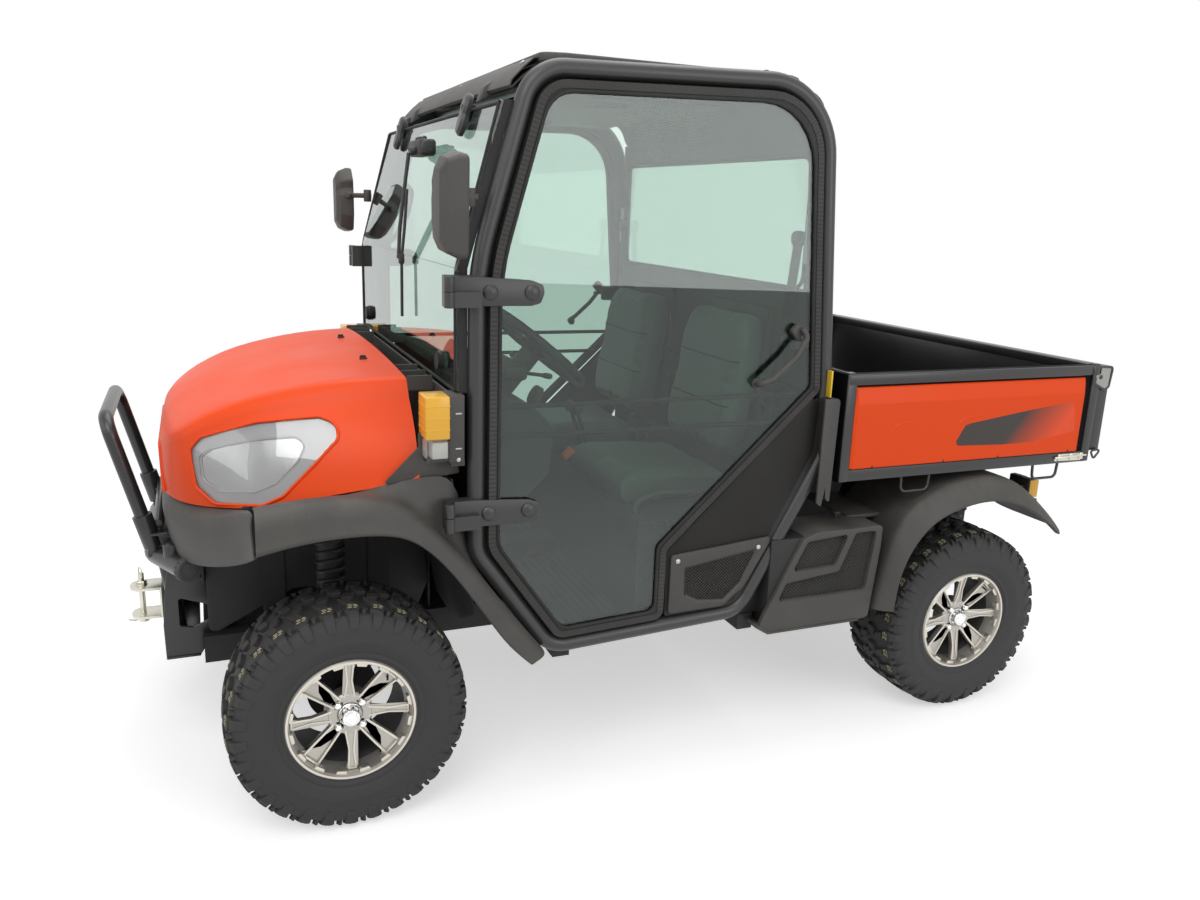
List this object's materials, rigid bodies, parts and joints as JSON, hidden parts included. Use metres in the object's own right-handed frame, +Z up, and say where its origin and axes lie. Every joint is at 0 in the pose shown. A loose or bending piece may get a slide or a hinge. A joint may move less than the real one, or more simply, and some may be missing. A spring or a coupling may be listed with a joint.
{
  "type": "side by side utility vehicle",
  "caption": "Side by side utility vehicle with a closed glazed cab, hinged doors and hood, steered front wheels and a tipping load bed with tailgate.",
  "frame": {"origin": "on the ground under the middle of the vehicle", "axes": "+X to the vehicle's left, +Y to the rear, +Z up"},
  "size_m": [1.84, 3.027, 2.0095],
  "materials": {
    "orange_paint": "gloss",
    "black_paint": "satin",
    "dark_plastic": "textured",
    "tinted_glass": "polished",
    "tyre_rubber": "matte",
    "alloy": "machined",
    "zinc": "satin",
    "seat_cover": "matte",
    "clear_lens": "polished",
    "amber_lens": "gloss",
    "chrome_rod": "polished",
    "cast_block": "rough"
  },
  "bodies": {
    "vehicle": {"chassis_frame": "black_paint", "bull_bar": "black_paint", "tow_clevis": "zinc", "cab_frame": "black_paint", "door_hinges": "black_paint", "windshield": "tinted_glass", "windshield_frame": "dark_plastic", "rear_window": "tinted_glass", "rear_panel": "black_paint", "roof": "dark_plastic", "front_apron": "dark_plastic", "front_fenders": "dark_plastic", "turn_signals": "amber_lens", "cowl": "dark_plastic", "floor_tub": "dark_plastic", "side_panels": "black_paint", "vent_covers": "dark_plastic", "side_boxes": "dark_plastic", "rear_fenders": "dark_plastic", "dashboard": "dark_plastic", "steering_column": "black_paint", "driver_cushion": "seat_cover", "passenger_cushion": "seat_cover", "driver_back": "seat_cover", "passenger_back": "seat_cover", "mirrors": "dark_plastic", "wiper": "black_paint", "powertrain": "cast_block", "front_suspension": "black_paint", "rear_suspension": "black_paint", "tail_lamps": "amber_lens"},
    "hood": {"hood": "orange_paint", "hood_grille": "dark_plastic", "headlamps": "clear_lens"},
    "door_left": {"door_left": "black_paint", "door_left_glass": "tinted_glass", "door_left_fittings": "black_paint"},
    "door_right": {"door_right": "black_paint", "door_right_glass": "tinted_glass", "door_right_fittings": "black_paint"},
    "steering_wheel": {"steering_wheel": "dark_plastic"},
    "knuckle_left": {"knuckle_left": "cast_block"},
    "knuckle_right": {"knuckle_right": "cast_block"},
    "wheel_front_left": {"tyre_front_left": "tyre_rubber", "rim_front_left": "alloy"},
    "wheel_front_right": {"tyre_front_right": "tyre_rubber", "rim_front_right": "alloy"},
    "wheel_rear_left": {"tyre_rear_left": "tyre_rubber", "rim_rear_left": "alloy"},
    "wheel_rear_right": {"tyre_rear_right": "tyre_rubber", "rim_rear_right": "alloy"},
    "bed": {"bed_box": "black_paint", "bed_side_panels": "orange_paint", "bed_fittings": "zinc"},
    "tailgate": {"tailgate": "black_paint"},
    "lift_cylinder": {"lift_cylinder": "black_paint"},
    "lift_rod": {"lift_rod": "chrome_rod"}
  },
  "joints": [
    {"name": "steer_left", "type": "hinge", "parent": "vehicle", "child": "knuckle_left", "pos_m": [0.5, -0.9625, 0.3175], "axis": [0, 0, 1], "range_deg": [-26, 26]},
    {"name": "steer_right", "type": "hinge", "parent": "vehicle", "child": "knuckle_right", "pos_m": [-0.5, -0.9625, 0.3175], "axis": [0, 0, 1], "range_deg": [-26, 26]},
    {"name": "steering_wheel_turn", "type": "hinge", "parent": "vehicle", "child": "steering_wheel", "pos_m": [0.31, -0.336, 1.226], "axis": [0, 0.6428, 0.766], "range_deg": [-390, 390]},
    {"name": "spin_front_left", "type": "hinge", "parent": "knuckle_left", "child": "wheel_front_left", "pos_m": [0.615, -0.9625, 0.3175], "axis": [1, 0, 0], "continuous": true},
    {"name": "spin_front_right", "type": "hinge", "parent": "knuckle_right", "child": "wheel_front_right", "pos_m": [-0.615, -0.9625, 0.3175], "axis": [1, 0, 0], "continuous": true},
    {"name": "spin_rear_left", "type": "hinge", "parent": "vehicle", "child": "wheel_rear_left", "pos_m": [0.615, 1.0725, 0.3175], "axis": [1, 0, 0], "continuous": true},
    {"name": "spin_rear_right", "type": "hinge", "parent": "vehicle", "child": "wheel_rear_right", "pos_m": [-0.615, 1.0725, 0.3175], "axis": [1, 0, 0], "continuous": true},
    {"name": "door_left_swing", "type": "hinge", "parent": "vehicle", "child": "door_left", "pos_m": [0.764, -0.712, 0.86], "axis": [0, 0, -1], "range_deg": [0, 65]},
    {"name": "door_right_swing", "type": "hinge", "parent": "vehicle", "child": "door_right", "pos_m": [-0.764, -0.712, 0.86], "axis": [0, 0, 1], "range_deg": [0, 65]},
    {"name": "hood_lift", "type": "hinge", "parent": "vehicle", "child": "hood", "pos_m": [0, -0.776, 1.17], "axis": [-1, 0, 0], "range_deg": [0, 50]},
    {"name": "bed_tilt", "type": "hinge", "parent": "vehicle", "child": "bed", "pos_m": [0, 1.375, 0.795], "axis": [-1, 0, 0], "range_deg": [0, 38]},
    {"name": "tailgate_drop", "type": "hinge", "parent": "bed", "child": "tailgate", "pos_m": [0, 1.497, 0.878], "axis": [-1, 0, 0], "range_deg": [0, 90]},
    {"name": "lift_swing", "type": "hinge", "parent": "vehicle", "child": "lift_cylinder", "pos_m": [0.27, 0.9, 0.455], "axis": [-1, 0, 0], "range_deg": [-2.82, 0]},
    {"name": "lift_slide", "type": "slide", "parent": "lift_cylinder", "child": "lift_rod", "axis": [0, 0.6308, 0.7759], "range_m": [0, 0.11269]}
  ],
  "couplings": [
    {"joint": "steer_right", "follows": "steer_left", "ratio": 1},
    {"joint": "steering_wheel_turn", "follows": "steer_left", "ratio": 15},
    {"joint": "lift_swing", "follows": "bed_tilt", "ratio": -0.073956},
    {"joint": "lift_slide", "follows": "bed_tilt", "m_per_rad": 0.16957}
  ]
}
